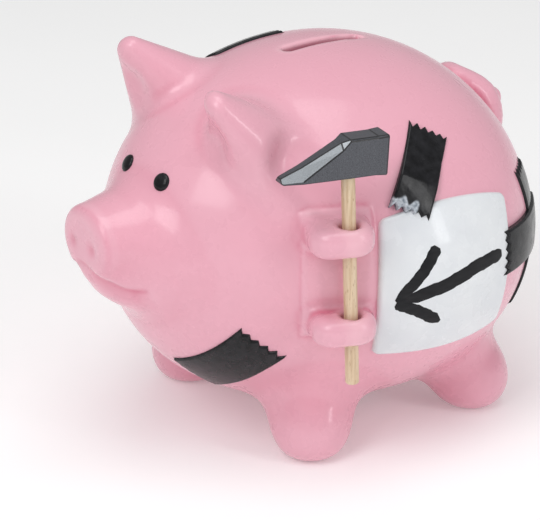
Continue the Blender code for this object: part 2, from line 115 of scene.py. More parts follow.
TAIL_PATH = (
    (3.0, 74.0, 88.0, 7.5),
    (4.0, 83.5, 96.0, 6.6),
    (2.0, 82.0, 107.0, 6.4),
    (-5.0, 74.0, 113.0, 6.2),
    (-12.5, 78.0, 111.0, 5.6),
    (-14.5, 87.5, 104.5, 5.2),
    (-11.5, 98.2, 98.6, 4.5),
)
SLOT_Y = (-10.0, 25.8)
SLOT_W = 4.6
PLUG_Y = 10.0
HOLE_R = 11.5
HANDLE_R = 2.5
HANDLE_FOOT = (70.0, -28.9, 41.6)
HANDLE_LEAN = -0.0369
LUG_YAW = 22.0
LUG_OUT = 7.4
LUG_DEPTH = 27.0
LUG_FRONT = 14.5
LUG_REAR = 9.2
LUG_CORNER = 8.0
LUG_HOLE_R = 3.8
LUG_EDGE = 4.2
LUGS = ((98.0, 11.0), (63.4, 10.6))
LUG_BLEND = 3.4
PAD_RISE = 0.8
PAD_MARGIN = 0.8
PAD_EDGE = 0.35


# ------------------------------------------------------------------ solid fields
def length(v):
    return np.sqrt((v * v).sum(-1))


def unit(v):
    return v / np.maximum(length(v)[..., None], 1e-9)


def ellipsoid(p, c, r):
    q = p - np.array(c)
    r = np.array(r)
    k0 = length(q / r)
    k1 = length(q / (r * r))
    return k0 * (k0 - 1.0) / np.maximum(k1, 1e-9)


def smin(a, b, k):
    h = np.maximum(k - np.abs(a - b), 0.0) / k
    return np.minimum(a, b) - h * h * k * 0.25


def smax(a, b, k):
    return -smin(-a, -b, k)


def round_cone(p, a, b, r1, r2):
    a = np.array(a)
    b = np.array(b)
    ba = b - a
    l2 = ba @ ba
    rr = r1 - r2
    a2 = l2 - rr * rr
    il2 = 1.0 / l2
    pa = p - a
    y = pa @ ba
    z = y - l2
    x = pa * l2 - y[..., None] * ba
    x2 = (x * x).sum(-1)
    y2 = y * y * l2
    z2 = z * z * l2
    k = np.sign(rr) * rr * rr * x2
    side = (np.sqrt(np.maximum(x2 * a2 * il2, 0.0)) + y * rr) * il2 - r1
    side = np.where(np.sign(y) * a2 * y2 < k, np.sqrt(x2 + y2) * il2 - r1, side)
    return np.where(np.sign(z) * a2 * z2 > k, np.sqrt(x2 + z2) * il2 - r2, side)


def mirrored(p):
    q = p.copy()
    q[..., 0] = np.abs(q[..., 0])
    return q


def core(p):
    f = ellipsoid(p, TORSO_C, TORSO_R)
    return smin(f, ellipsoid(p, HEAD_C, HEAD_R), HEAD_BLEND)


def snout(p):
    y0, z0, r0 = SNOUT_ROOT
    y1, z1, r1 = SNOUT_TIP
    u = np.clip((p[..., 1] - y0) / (y1 - y0), -0.5, 1.4)
    s = u * u * (3.0 - 2.0 * np.clip(u, 0.0, 1.0)) * 0.5 + u * 0.5
    x = p[..., 0] / SNOUT_WIDTH
    z = p[..., 2] - z0 - (z1 - z0) * u
    cone = (np.sqrt(x * x + z * z) - r0 - (r1 - r0) * s) * 0.9
    disc = smax(cone, y1 - p[..., 1], SNOUT_EDGE)
    return smax(disc, p[..., 1] - y0 - 8.0, 6.0)


def legs(p):
    q = mirrored(p)
    pair = []
    for y, splay in ((LEG_FRONT_Y, LEG_SPLAY_FRONT), (LEG_REAR_Y, LEG_SPLAY_REAR)):
        foot = (LEG_X + 1.0, y + splay, LEG_R_FOOT * 0.8)
        leg = round_cone(q, (LEG_X, y, LEG_TOP), foot, LEG_R_TOP, LEG_R_FOOT)
        pair.append(smax(leg, -q[..., 2] - SOLE_DEPTH, SOLE_EDGE))
    return np.minimum(pair[0], pair[1])


def body(p):
    f = smin(core(p), ellipsoid(p, JAW_C, JAW_R), 9.0)
    low = 1.0 / (1.0 + np.exp((p[..., 2] - SNOUT_TIP[1]) / 5.0))
    f = smin(f, snout(p), 6.0 + 6.0 * low)
    return smin(f, legs(p), LEG_BLEND)


def cavity(p):
    return core(p) + WALL


def ear(p):
    q = mirrored(p)
    q[..., 2] += EAR_UNEVEN * np.tanh(p[..., 0] / 15.0)
    w = np.array(EAR_SPREAD) / np.sqrt(np.dot(EAR_SPREAD, EAR_SPREAD))
    across = (q - np.array(EAR_ROOT)) @ w
    flat = q - (across * (1.0 - 1.0 / EAR_BROAD))[..., None] * w
    cone = round_cone(flat, EAR_ROOT, EAR_TIP, EAR_R_ROOT, EAR_R_TIP)
    n = np.array(EAR_NORMAL)
    n = n / np.sqrt(n @ n)
    d = q - np.array(EAR_FACE)
    face = d @ n
    along = length(d - face[..., None] * n) / EAR_SCOOP_R
    face = face + EAR_SCOOP * np.exp(-along * along)
    hollow = EAR_BACK_R - length(q - np.array(EAR_BACK))
    return smax(smax(cone, face, 3.0), hollow, 6.0)


def smooth_path(points, steps=4):
    """Catmull-Rom curve through rows of numbers."""
    k = [np.array(q) for q in points]
    k = [2.0 * k[0] - k[1]] + k + [2.0 * k[-1] - k[-2]]
    out = []
    for i in range(1, len(k) - 2):
        for n in range(steps):
            t = n / steps
            a = 2.0 * k[i] + (k[i + 1] - k[i - 1]) * t
            b = (2.0 * k[i - 1] - 5.0 * k[i] + 4.0 * k[i + 1] - k[i + 2]) * t * t
            c = (3.0 * k[i] - k[i - 1] - 3.0 * k[i + 1] + k[i + 2]) * t * t * t
            out.append((a + b + c) * 0.5)
    return out + [k[-2]]


def tube(p, path):
    """Distance to a chain of (x, y, z, radius) points."""
    f = np.full(p.shape[:-1], 1000.0)
    for a, b in zip(path[:-1], path[1:]):
        span = b[:3] - a[:3]
        t = np.clip(((p - a[:3]) @ span) / (span @ span), 0.0, 1.0)
        away = length(p - a[:3] - t[..., None] * span) - a[3] - (b[3] - a[3]) * t
        f = np.minimum(f, away)
    return f


def tail(p):
    return tube(p, smooth_path(TAIL_PATH))


def handle_at(z):
    x, y, z0 = HANDLE_FOOT
    return np.array((x, y + (z - z0) * HANDLE_LEAN, z))


def lug(p, z, height):
    """Rounded block standing out from the flank, and the hole the handle drops through."""
    q = p - handle_at(z)
    c = math.cos(math.radians(LUG_YAW))
    s = math.sin(math.radians(LUG_YAW))
    out = q[..., 0] * c - q[..., 1] * s
    along = q[..., 0] * s + q[..., 1] * c
    dx = np.abs(out - LUG_OUT + LUG_DEPTH * 0.5) - LUG_DEPTH * 0.5 + LUG_CORNER
    dy = np.abs(along - (LUG_REAR - LUG_FRONT) * 0.5) - (LUG_REAR + LUG_FRONT) * 0.5 + LUG_CORNER
    corner = length(np.maximum(np.stack([dx, dy], -1), 0.0))
    plan = corner + np.minimum(np.maximum(dx, dy), 0.0) - LUG_CORNER
    a = np.stack([plan + LUG_EDGE, np.abs(q[..., 2]) - height * 0.5 + LUG_EDGE], -1)
    block = length(np.maximum(a, 0.0)) + np.minimum(a.max(-1), 0.0) - LUG_EDGE
    return block, np.sqrt(q[..., 0] ** 2 + q[..., 1] ** 2) - LUG_HOLE_R


def pad(p):
    """How far the low flat pad behind the two lugs lifts the flank."""
    q = p - handle_at((LUGS[0][0] + LUGS[1][0]) * 0.5)
    c = math.cos(math.radians(LUG_YAW))
    s = math.sin(math.radians(LUG_YAW))
    out = q[..., 0] * c - q[..., 1] * s
    along = q[..., 0] * s + q[..., 1] * c
    side = np.abs(along - (LUG_REAR - LUG_FRONT) * 0.5) - (LUG_REAR + LUG_FRONT) * 0.5 - PAD_MARGIN
    end = np.abs(q[..., 2]) - (LUGS[0][0] - LUGS[1][0] + LUGS[0][1]) * 0.5 - PAD_MARGIN
    edge = np.clip(np.maximum(side, end) / PAD_EDGE, -30.0, 30.0)
    return np.where(out > -LUG_DEPTH, PAD_RISE / (1.0 + np.exp(edge)), 0.0)


def slot(p):
    """Upright prism with rounded ends through the back."""
    half = SLOT_W * 0.5
    y0, y1 = SLOT_Y
    y = np.clip(p[..., 1], y0 + half, y1 - half)
    ring = np.sqrt(p[..., 0] ** 2 + (p[..., 1] - y) ** 2) - half
    return np.maximum(ring, 128.0 - p[..., 2])


def drain(p):
    ring = np.sqrt(p[..., 0] ** 2 + (p[..., 1] - PLUG_Y) ** 2) - HOLE_R
    return np.maximum(ring, p[..., 2] - 22.0)


def smile():
    """Points of the mouth line: level under the nose, down round both cheeks."""
    out = []
    for k in range(-MOUTH_STEPS, MOUTH_STEPS + 1):
        a = k / MOUTH_STEPS
        turn = abs(a) * math.pi * 0.5
        x = MOUTH_HALF * math.sin(a * math.pi * 0.5)
        y = MOUTH_FRONT_Y + MOUTH_DEPTH * (1.0 - math.cos(turn)) ** 1.1
        z = MOUTH_Z - MOUTH_DROP * math.sin(min(turn * 1.45, math.pi * 0.5)) ** 2 + 1.6 * abs(a) ** 6
        out.append((x, y, z))
    return np.array(out)


def mouth(p, line):
    """How far the skin draws back along the mouth line and on the lip below it."""
    close = np.full(p.shape[:-1], 1000.0)
    above = np.zeros(p.shape[:-1])
    for a, b in zip(line[:-1], line[1:]):
        span = b - a
        t = np.clip(((p - a) @ span) / (span @ span), 0.0, 1.0)
        gap = p - a - t[..., None] * span
        away = length(gap)
        nearer = away < close
        above = np.where(nearer, gap[..., 2], above)
        close = np.where(nearer, away, close)
    end = np.clip((MOUTH_HALF + 1.0 - np.abs(p[..., 0])) / 5.0, 0.0, 1.0)
    groove = MOUTH_GROOVE * np.exp(-((close / 1.0) ** 2))
    lip = MOUTH_LIP * np.exp(-((close / 6.0) ** 2)) / (1.0 + np.exp(above / 0.45))
    return (groove + lip) * end


def skin(p):
    """The whole glazed casting, inside negative."""
    front = 1.0 / (1.0 + np.exp((p[..., 1] - EAR_FACE[1] - 6.0) / 3.0))
    f = smin(body(p), ear(p), EAR_BLEND + EAR_FRONT_BLEND * front)
    f = smin(f, tail(p), 4.0)
    f = f - pad(p)
    for z, height in LUGS:
        block, hole = lug(p, z, height)
        f = smin(f, block, LUG_BLEND)
        f = smax(f, -np.maximum(hole, np.abs(p[..., 2] - z) - height), 1.4)
    face = (p[..., 1] < MOUTH_REACH_Y) & (p[..., 2] < NOSTRIL[2] + 8.0)
    if face.any():
        near = p[face]
        dent = NOSTRIL_DENT * np.exp(-((length(mirrored(near) - np.array(NOSTRIL)) / NOSTRIL_R) ** 2))
        f[face] += mouth(near, SMILE) + dent
    f = smax(f, -slot(p), 0.9)
    f = smax(f, -drain(p), 1.0)
    return np.maximum(f, -p[..., 2])


def gradient(field, p, e=0.05):
    g = np.zeros(p.shape)
    for i in range(3):
        d = np.zeros(3)
        d[i] = e
        g[..., i] = (field(p + d) - field(p - d)) / (2.0 * e)
    return g


def settle(field, p, level=0.0, rounds=6):
    """Move points along a field's slope until they lie on one of its levels."""
    for _ in range(rounds):
        g = gradient(field, p)
        p = p - ((field(p) - level) / np.maximum((g * g).sum(-1), 1e-6))[..., None] * g
    return p


SMILE = settle(body, smile())


# ------------------------------------------------------------------ mesh makers
def banded(field, axes, block):
    """Field values on a grid, worked out only near the zero level."""
    n = [len(a) for a in axes]
    coarse = [a[::block] for a in axes]
    rough = field(np.stack(np.meshgrid(*coarse, indexing="ij"), -1))
    reach = (axes[0][1] - axes[0][0]) * block * 1.9
    val = rough
    for ax in range(3):
        val = np.repeat(val, block, ax)
    val = val[: n[0], : n[1], : n[2]].copy()
    near = np.abs(val) < reach
    pts = np.stack([axes[i][c] for i, c in enumerate(np.nonzero(near))], -1)
    val[near] = np.concatenate([field(c) for c in np.array_split(pts, 8)])
    return val


def net(field, low, high, cell, rounds=3):
    """Closed quad skin of a field's zero level on an even grid."""
    axes = [np.arange(a, b + cell, cell) for a, b in zip(low, high)]
    val = banded(field, axes, 4)
    inside = val < 0.0
    n = np.array(val.shape) - 1
    total = np.zeros((*n, 3), np.float32)
    count = np.zeros(n, np.int16)
    for ax in range(3):
        lo = [slice(None)] * 3
        hi = [slice(None)] * 3
        lo[ax] = slice(0, -1)
        hi[ax] = slice(1, None)
        at = np.argwhere(inside[tuple(lo)] != inside[tuple(hi)])
        step = np.zeros(3, int)
        step[ax] = 1
        va = val[tuple(at.T)]
        vb = val[tuple((at + step).T)]
        pos = np.stack([axes[i][at[:, i]] for i in range(3)], -1)
        pos[:, ax] += cell * va / (va - vb)
        o1, o2 = [a for a in range(3) if a != ax]
        for i in (0, 1):
            for j in (0, 1):
                c = at.copy()
                c[:, o1] -= i
                c[:, o2] -= j
                np.add.at(total, tuple(c.T), pos)
                np.add.at(count, tuple(c.T), 1)
    used = count > 0
    index = np.full(tuple(n), -1)
    index[used] = np.arange(used.sum())
    verts = (total[used] / count[used][:, None]).astype(float)
    faces = []
    for ax in range(3):
        e1 = np.zeros(3, int)
        e2 = np.zeros(3, int)
        e1[(ax + 1) % 3] = 1
        e2[(ax + 2) % 3] = 1
        lo = [slice(None)] * 3
        hi = [slice(None)] * 3
        lo[ax] = slice(0, -1)
        hi[ax] = slice(1, None)
        a_in = inside[tuple(lo)]
        at = np.argwhere(a_in != inside[tuple(hi)])
        quad = np.stack([index[tuple((at + k).T)] for k in (-e1 - e2, -e2, 0 * e1, -e1)], 1)
        flip = ~a_in[tuple(at.T)]
        quad[flip] = quad[flip][:, ::-1]
        faces.append(quad)
    return settle(field, verts, rounds=rounds), np.concatenate(faces)


def add(name, verts, faces, mat, smooth=True):
    """New mesh object from millimetre data in the pig's frame."""
    mesh = bpy.data.meshes.new(name)
    verts = (np.array(verts) + OFFSET) * MM
    if isinstance(faces, np.ndarray):
        mesh.vertices.add(len(verts))
        mesh.vertices.foreach_set("co", verts.ravel())
        mesh.loops.add(faces.size)
        mesh.loops.foreach_set("vertex_index", faces.ravel().astype(np.int32))
        mesh.polygons.add(len(faces))
        mesh.polygons.foreach_set("loop_start", np.arange(0, faces.size, 4, dtype=np.int32))
        mesh.update()
        mesh.validate()
    else:
        mesh.from_pydata([tuple(v) for v in verts], [], [list(map(int, f)) for f in faces])
        bm = bmesh.new()
        bm.from_mesh(mesh)
        bmesh.ops.recalc_face_normals(bm, faces=bm.faces)
        bm.to_mesh(mesh)
        bm.free()
    mesh.polygons.foreach_set("use_smooth", [smooth] * len(mesh.polygons))
    mesh.materials.append(mat)
    ob = bpy.data.objects.new(name, mesh)
    bpy.context.scene.collection.objects.link(ob)
    return ob


def point_colour(ob, name, values):
    """Store one number per vertex for a material to read."""
    att = ob.data.attributes.new(name, "FLOAT", "POINT")
    att.data.foreach_set("value", np.array(values, float))


# ------------------------------------------------------------------ node helpers
def shader(name, colour, rough, metallic=0.0, coat=0.0, coat_rough=0.03, ior=1.5):
    m = bpy.data.materials.new(name)
    m.use_nodes = True
    b = m.node_tree.nodes["Principled BSDF"]
    b.inputs["Base Color"].default_value = (*colour, 1.0)
    b.inputs["Roughness"].default_value = rough
    b.inputs["Metallic"].default_value = metallic
    b.inputs["Coat Weight"].default_value = coat
    b.inputs["Coat Roughness"].default_value = coat_rough
    b.inputs["IOR"].default_value = ior
    return m, m.node_tree.nodes, m.node_tree.links, b


def noise(nodes, links, scale, detail=3.0, stretch=(1.0, 1.0, 1.0)):
    """3-D noise in object space; scale is in features per metre."""
    where = nodes.new("ShaderNodeTexCoord")
    place = nodes.new("ShaderNodeMapping")
    place.inputs["Scale"].default_value = stretch
    tex = nodes.new("ShaderNodeTexNoise")
    tex.inputs["Scale"].default_value = scale
    tex.inputs["Detail"].default_value = detail
    links.new(where.outputs["Object"], place.inputs["Vector"])
    links.new(place.outputs["Vector"], tex.inputs["Vector"])
    return tex.outputs["Fac"]


def ramp(nodes, links, source, stops):
    """Colour ramp; stops are (position, colour)."""
    r = nodes.new("ShaderNodeValToRGB")
    while len(r.color_ramp.elements) < len(stops):
        r.color_ramp.elements.new(0.5)
    for e, (at, colour) in zip(r.color_ramp.elements, stops):
        e.position = at
        e.color = (*colour, 1.0)
    links.new(source, r.inputs["Fac"])
    return r.outputs["Color"]


def remap(nodes, links, source, lo, hi, to_lo, to_hi):
    r = nodes.new("ShaderNodeMapRange")
    for key, v in (("From Min", lo), ("From Max", hi), ("To Min", to_lo), ("To Max", to_hi)):
        r.inputs[key].default_value = v
    links.new(source, r.inputs["Value"])
    return r.outputs["Result"]


def mix(nodes, links, fac, a, b, blend="MIX"):
    """Colour mix; fac, a and b are sockets or constants."""
    m = nodes.new("ShaderNodeMix")
    m.data_type = "RGBA"
    m.blend_type = blend
    for key, v in ((0, fac), (6, a), (7, b)):
        if isinstance(v, bpy.types.NodeSocket):
            links.new(v, m.inputs[key])
        elif key == 0:
            m.inputs[0].default_value = v
        else:
            m.inputs[key].default_value = (*v, 1.0)
    return m.outputs[2]


def bump(nodes, links, b, source, strength, distance):
    n = nodes.new("ShaderNodeBump")
    n.inputs["Strength"].default_value = strength
    n.inputs["Distance"].default_value = distance
    links.new(source, n.inputs["Height"])
    links.new(n.outputs["Normal"], b.inputs["Normal"])


def attribute(nodes, name):
    a = nodes.new("ShaderNodeAttribute")
    a.attribute_name = name
    return a.outputs["Fac"]


# ------------------------------------------------------------------ materials
def pink_glaze():
    """Soft pink glaze: deeper where it pools in creases, and darker there as painted shade as well; thinner
    on ridges.
    """
    m, nodes, links, b = shader("pink_glaze", (0.83, 0.36, 0.45), 0.36, coat=0.3, coat_rough=0.11, ior=1.4)
    cloud = ramp(
        nodes, links, noise(nodes, links, 28.0, 4.0),
        ((0.30, (0.810, 0.405, 0.495)), (0.70, (0.830, 0.430, 0.520))),
    )
    glaze_pool_and_shade = remap(nodes, links, attribute(nodes, "glaze_pool_and_shade"), 0.0, 1.0, 0.0, 1.0)
    # the deep pink mixed in here is partly pooled glaze and partly painted shade in creases and hollows
    colour = mix(nodes, links, glaze_pool_and_shade, cloud, (0.66, 0.17, 0.26))
    ridge = attribute(nodes, "ridge")
    colour = mix(nodes, links, ridge, colour, (0.87, 0.50, 0.57))
    links.new(colour, b.inputs["Base Color"])
    links.new(remap(nodes, links, noise(nodes, links, 160.0), 0.3, 0.7, 0.24, 0.33), b.inputs["Roughness"])
    bump(nodes, links, b, noise(nodes, links, 210.0, 2.0), 0.02, 0.0006)
    return m


def white_glaze():
    m, nodes, links, b = shader("white_glaze", (0.78, 0.80, 0.83), 0.28, coat=0.3, coat_rough=0.06, ior=1.4)
    tone = ramp(
        nodes, links, noise(nodes, links, 45.0, 4.0),
        ((0.3, (0.70, 0.725, 0.76)), (0.7, (0.80, 0.82, 0.84))),
    )
    edge = attribute(nodes, "edge")
    links.new(mix(nodes, links, edge, tone, (0.80, 0.66, 0.68)), b.inputs["Base Color"])
    links.new(remap(nodes, links, noise(nodes, links, 150.0), 0.3, 0.7, 0.2, 0.32), b.inputs["Roughness"])
    bump(nodes, links, b, noise(nodes, links, 230.0, 2.0), 0.08, 0.0006)
    return m


def black_glaze(name="black_glaze", wrinkle=0.25):
    m, nodes, links, b = shader(name, (0.010, 0.010, 0.012), 0.2, coat=0.08, coat_rough=0.04, ior=1.28)
    tone = ramp(
        nodes, links, noise(nodes, links, 300.0, 4.0),
        ((0.3, (0.006, 0.006, 0.007)), (0.72, (0.020, 0.020, 0.023))),
    )
    silver = ramp(
        nodes, links, noise(nodes, links, 700.0, 3.0),
        ((0.35, (0.20, 0.23, 0.27)), (0.65, (0.58, 0.62, 0.67))),
    )
    links.new(mix(nodes, links, attribute(nodes, "curl"), tone, silver), b.inputs["Base Color"])
    links.new(remap(nodes, links, noise(nodes, links, 190.0), 0.3, 0.7, 0.16, 0.32), b.inputs["Roughness"])
    bump(nodes, links, b, noise(nodes, links, 130.0, 3.0), wrinkle, 0.0007)
    return m


def brush_black():
    m, nodes, links, b = shader("brush_black", (0.010, 0.010, 0.012), 0.4, ior=1.3)
    tone = ramp(
        nodes, links, noise(nodes, links, 500.0, 4.0, (1.0, 0.25, 1.0)),
        ((0.35, (0.006, 0.006, 0.008)), (0.75, (0.016, 0.016, 0.018))),
    )
    links.new(tone, b.inputs["Base Color"])
    links.new(remap(nodes, links, noise(nodes, links, 350.0), 0.3, 0.7, 0.28, 0.45), b.inputs["Roughness"])
    return m


def beech():
    """Pale dowel: long fibres, short dark flecks."""
    m, nodes, links, b = shader("beech", (0.74, 0.58, 0.40), 0.6)
    grain = noise(nodes, links, 900.0, 5.0, (1.0, 1.0, 0.05))
    tone = ramp(
        nodes, links, grain,
        ((0.28, (0.56, 0.39, 0.23)), (0.52, (0.74, 0.57, 0.39)), (0.78, (0.82, 0.68, 0.50))),
    )
    fleck = ramp(
        nodes, links, noise(nodes, links, 2600.0, 2.0, (1.0, 1.0, 0.12)),
        ((0.62, (0.0, 0.0, 0.0)), (0.70, (1.0, 1.0, 1.0))),
    )
    links.new(mix(nodes, links, fleck, tone, (0.50, 0.33, 0.19)), b.inputs["Base Color"])
    links.new(remap(nodes, links, grain, 0.3, 0.7, 0.5, 0.68), b.inputs["Roughness"])
    bump(nodes, links, b, grain, 0.25, 0.0003)
    return m


def head_lacquer(name, dark, light):
    """Fine-grained metallic lacquer with a faint hammered grain."""
    m, nodes, links, b = shader(name, dark, 0.42, 0.35, coat=0.25, coat_rough=0.15)
    grit = noise(nodes, links, 3200.0, 3.0)
    tone = ramp(nodes, links, grit, ((0.30, dark), (0.72, light)))
    links.new(tone, b.inputs["Base Color"])
    links.new(remap(nodes, links, grit, 0.3, 0.7, 0.34, 0.55), b.inputs["Roughness"])
    bump(nodes, links, b, grit, 0.35, 0.0002)
    return m


def plug_rubber():
    m, nodes, links, b = shader("plug_rubber", (0.5, 0.5, 0.48), 0.65)
    tone = ramp(
        nodes, links, noise(nodes, links, 120.0, 5.0),
        ((0.3, (0.42, 0.42, 0.41)), (0.7, (0.56, 0.56, 0.54))),
    )
    links.new(tone, b.inputs["Base Color"])
    links.new(remap(nodes, links, noise(nodes, links, 700.0), 0.3, 0.7, 0.55, 0.75), b.inputs["Roughness"])
    bump(nodes, links, b, noise(nodes, links, 1500.0), 0.15, 0.0002)
    return m


PINK = pink_glaze()
WHITE = white_glaze()
BLACK = black_glaze()
EYE_BLACK = black_glaze("eye_glaze", 0.06)


# ------------------------------------------------------------------ fused skin
def casting():
    low = CAD_LOW - OFFSET - 4.0
    high = CAD_HIGH - OFFSET + 4.0
    v, f = net(skin, low, high, CELL)
    ob = add("bank_skin", v, f, PINK)
    n = unit(gradient(skin, v, 0.4))
    # how far the form bends near each point: open creases pool glaze, ridges shed it; creases and broad
    # hollows are also darkened as painted shade
    bend = (skin(v + n * 2.5) - 2.5) + (skin(v - n * 2.5) + 2.5)
    # broad hollows darken the pink as well: painted shade
    wide = body(v + n * 7.0) - 7.0
    glaze_pool_and_shade = np.clip(-bend * 0.75 - wide * 0.12, 0.0, 1.0)
    ridge = np.clip(bend * 0.5, 0.0, 1.0)
    point_colour(ob, "glaze_pool_and_shade", glaze_pool_and_shade)
    point_colour(ob, "ridge", ridge)
    room_v, room_f = net(cavity, low, high, ROOM_CELL)
    room = add("room", room_v, room_f, PINK)
    m = ob.modifiers.new("room", "BOOLEAN")
    m.operation = "DIFFERENCE"
    m.solver = "EXACT"
    m.object = room
    apply_modifiers(ob)
    bpy.data.objects.remove(room, do_unlink=True)
    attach(ob, "bank")
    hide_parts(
        "body_shell", "ear_left", "ear_right", "tail", "hammer_lug_upper", "hammer_lug_lower"
    )
    return ob


def apply_modifiers(ob):
    dg = bpy.context.evaluated_depsgraph_get()
    mesh = bpy.data.meshes.new_from_object(ob.evaluated_get(dg))
    old = ob.data
    ob.modifiers.clear()
    ob.data = mesh
    bpy.data.meshes.remove(old)


# ------------------------------------------------------------------ panel and strips
def relief(name, chart, height, nu, nv, mat):
    """Relief on the skin. chart(s, t) gives a point near it, height(s, t) how far it stands."""
    s, t = np.meshgrid(np.linspace(0.0, 1.0, nu), np.linspace(0.0, 1.0, nv), indexing="ij")
    near = chart(s, t)
    top = settle(body, near, height(s, t, near), 10)
    ids = np.arange(nu * nv).reshape(nu, nv)
    quads = [ids[:-1, :-1], ids[1:, :-1], ids[1:, 1:], ids[:-1, 1:]]
    quads = np.stack(quads, -1).reshape(-1, 4)
    base = settle(body, near, -0.8, 10)
    rim = np.concatenate([ids[:, 0], ids[-1, 1:], ids[-2::-1, -1], ids[0, -2:0:-1]])
    n = nu * nv
    verts = np.concatenate([top.reshape(-1, 3), base.reshape(-1, 3)[rim]])
    k = np.arange(len(rim))
    nxt = np.roll(k, -1)
    wall = np.stack([rim[k], n + k, n + nxt, rim[nxt]], 1)
    ob = add(name, verts, np.concatenate([quads, wall]), mat)
    centre = near.reshape(-1, 3).mean(0)
    out = gradient(body, centre[None])[0]
    if np.dot(np.array(ob.data.polygons[len(quads) // 2].normal), out) < 0.0:
        ob.data.flip_normals()
    return ob


def label_chart(s, t):
    """s runs back along the flank, t runs up; the upper edge is crowned, the front one bowed."""
    foot = np.array([[62.5, -15.2, 46.5], [68.5, 38.0, 49.0]])
    head = np.array([[65.0, -14.8, 99.6], [67.5, 40.0, 98.4]])
    low = foot[0] + (foot[1] - foot[0]) * s[..., None]
    high = head[0] + (head[1] - head[0]) * s[..., None]
    p = low + (high - low) * t[..., None]
    waist = 4.0 * t * (1.0 - t)
    belly = 4.0 * s * (1.0 - s)
    p[..., 1] -= waist * np.where(s < 0.5, 2.0, 1.6) * np.abs(2.0 * s - 1.0)
    p[..., 2] += belly * np.where(t < 0.5, -0.5, 2.6) * np.abs(2.0 * t - 1.0)
    p[..., 0] += 4.0 * waist
    return p


LABEL_W = 55.0
LABEL_H = 53.5
LABEL_RISE = 1.7


def label_height(s, t, p):
    """Flat top that rolls over into the skin within a few millimetres of its outline."""
    a = np.minimum(s, 1.0 - s) * LABEL_W
    b = np.minimum(t, 1.0 - t) * LABEL_H
    r = 3.0
    inset = r - length(np.stack([np.maximum(r - a, 0.0), np.maximum(r - b, 0.0)], -1))
    d = np.clip(inset / r, 0.0, 1.0)
    return LABEL_RISE * np.sqrt(1.0 - (1.0 - d) ** 2.4) - 0.35 * (1.0 - d) ** 6


def panel():
    ob = relief("label_relief", label_chart, label_height, 84, 84, WHITE)
    high = body((np.array([v.co for v in ob.data.vertices]) / MM) - OFFSET)
    point_colour(ob, "edge", np.clip((0.9 - high) * 1.1, 0.0, 1.0))
    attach(ob, "bank")
    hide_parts("label_panel")


TEETH = 5.0


def strip(start, end, half, teeth_start, teeth_end):
    """Chart of a strip between two points near the skin, with saw-cut ends."""
    a = np.array(start)
    b = np.array(end)
    along = b - a
    mid = settle(body, (a + b)[None] * 0.5)[0]
    n = unit(gradient(body, mid[None]))[0]
    side = unit(np.cross(n, along))
    way = unit(along)

    def chart(s, t):
        saw = np.abs((t * TEETH) % 1.0 - 0.5) * 2.0
        uneven = 0.8 + 0.2 * np.sin(7.0 * np.round(t * TEETH) + 2.0)
        near_end = np.clip((s - 0.86) / 0.14, 0.0, 1.0)
        near_start = np.clip((0.14 - s) / 0.14, 0.0, 1.0)
        push = (saw * uneven - 0.4) * (teeth_end * near_end - teeth_start * near_start)
        across = (t - 0.5) * 2.0 * half
        lift = 6.0 * (4.0 * s * (1.0 - s))
        p = a + along * s[..., None] + side * across[..., None]
        return p + way * push[..., None] + n * lift[..., None]

    return chart


TAPE_RISE = 1.0


def strip_height(levels, wide):
    """Height of a strip's face: its edges roll over, levels lift it along its length."""

    def height(s, t, p):
        edge = np.clip(np.minimum(t, 1.0 - t) * wide / 0.9, 0.0, 1.0)
        tip = np.clip(np.minimum(s, 1.0 - s) * 34.0 / 0.9, 0.0, 1.0)
        roll = np.sqrt(1.0 - (1.0 - np.minimum(edge, tip)) ** 2)
        under = np.interp(s, (0.0, 0.33, 0.66, 1.0), levels)
        return under + TAPE_RISE * (roll * 0.85 + 0.15)

    return height


STRIPS = (
    ("tape_flank", (53.4, 15.9, 123.0), (67.7, -3.3, 100.9), 7.7, 2.8, 2.4, (0.0, 0.0, 1.5, 1.6)),
    ("tape_chest", (12.4, -59.3, 30.3), (44.4, -50.5, 53.1), 10.5, 1.0, 2.8, (0.0,) * 4),
    ("tape_rump_upright", (54.0, 60.0, 100.0), (55.0, 62.0, 45.0), 8.0, 2.6, 2.6, (0.0,) * 4),
    ("tape_rump_cross", (74.0, 35.3, 77.9), (46.0, 68.0, 76.0), 8.2, 2.4, 2.4, (1.7, 1.3, 1.0, 1.0)),
    ("tape_back", (-33.0, -20.0, 133.0), (-29.5, 6.0, 138.8), 8.3, 2.6, 2.6, (0.0,) * 4),
)


def strips():
    for name, a, b, half, t0, t1, levels in STRIPS:
        chart = strip(a, b, half, t0, t1)
        ob = relief(name + "_relief", chart, strip_height(levels, half * 2.0), 81, 81, BLACK)
        curl = np.zeros(len(ob.data.vertices))
        if name == "tape_flank":
            s, t = np.meshgrid(np.linspace(0.0, 1.0, 81), np.linspace(0.0, 1.0, 81), indexing="ij")
            turned_back = np.clip((s - 0.90 - 0.03 * np.sin(t * 19.0)) / 0.02, 0.0, 1.0)
            curl[: s.size] = (turned_back * np.clip((0.66 - t) / 0.04, 0.0, 1.0)).ravel()
        point_colour(ob, "curl", curl)
        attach(ob, "bank")
        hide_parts(name)


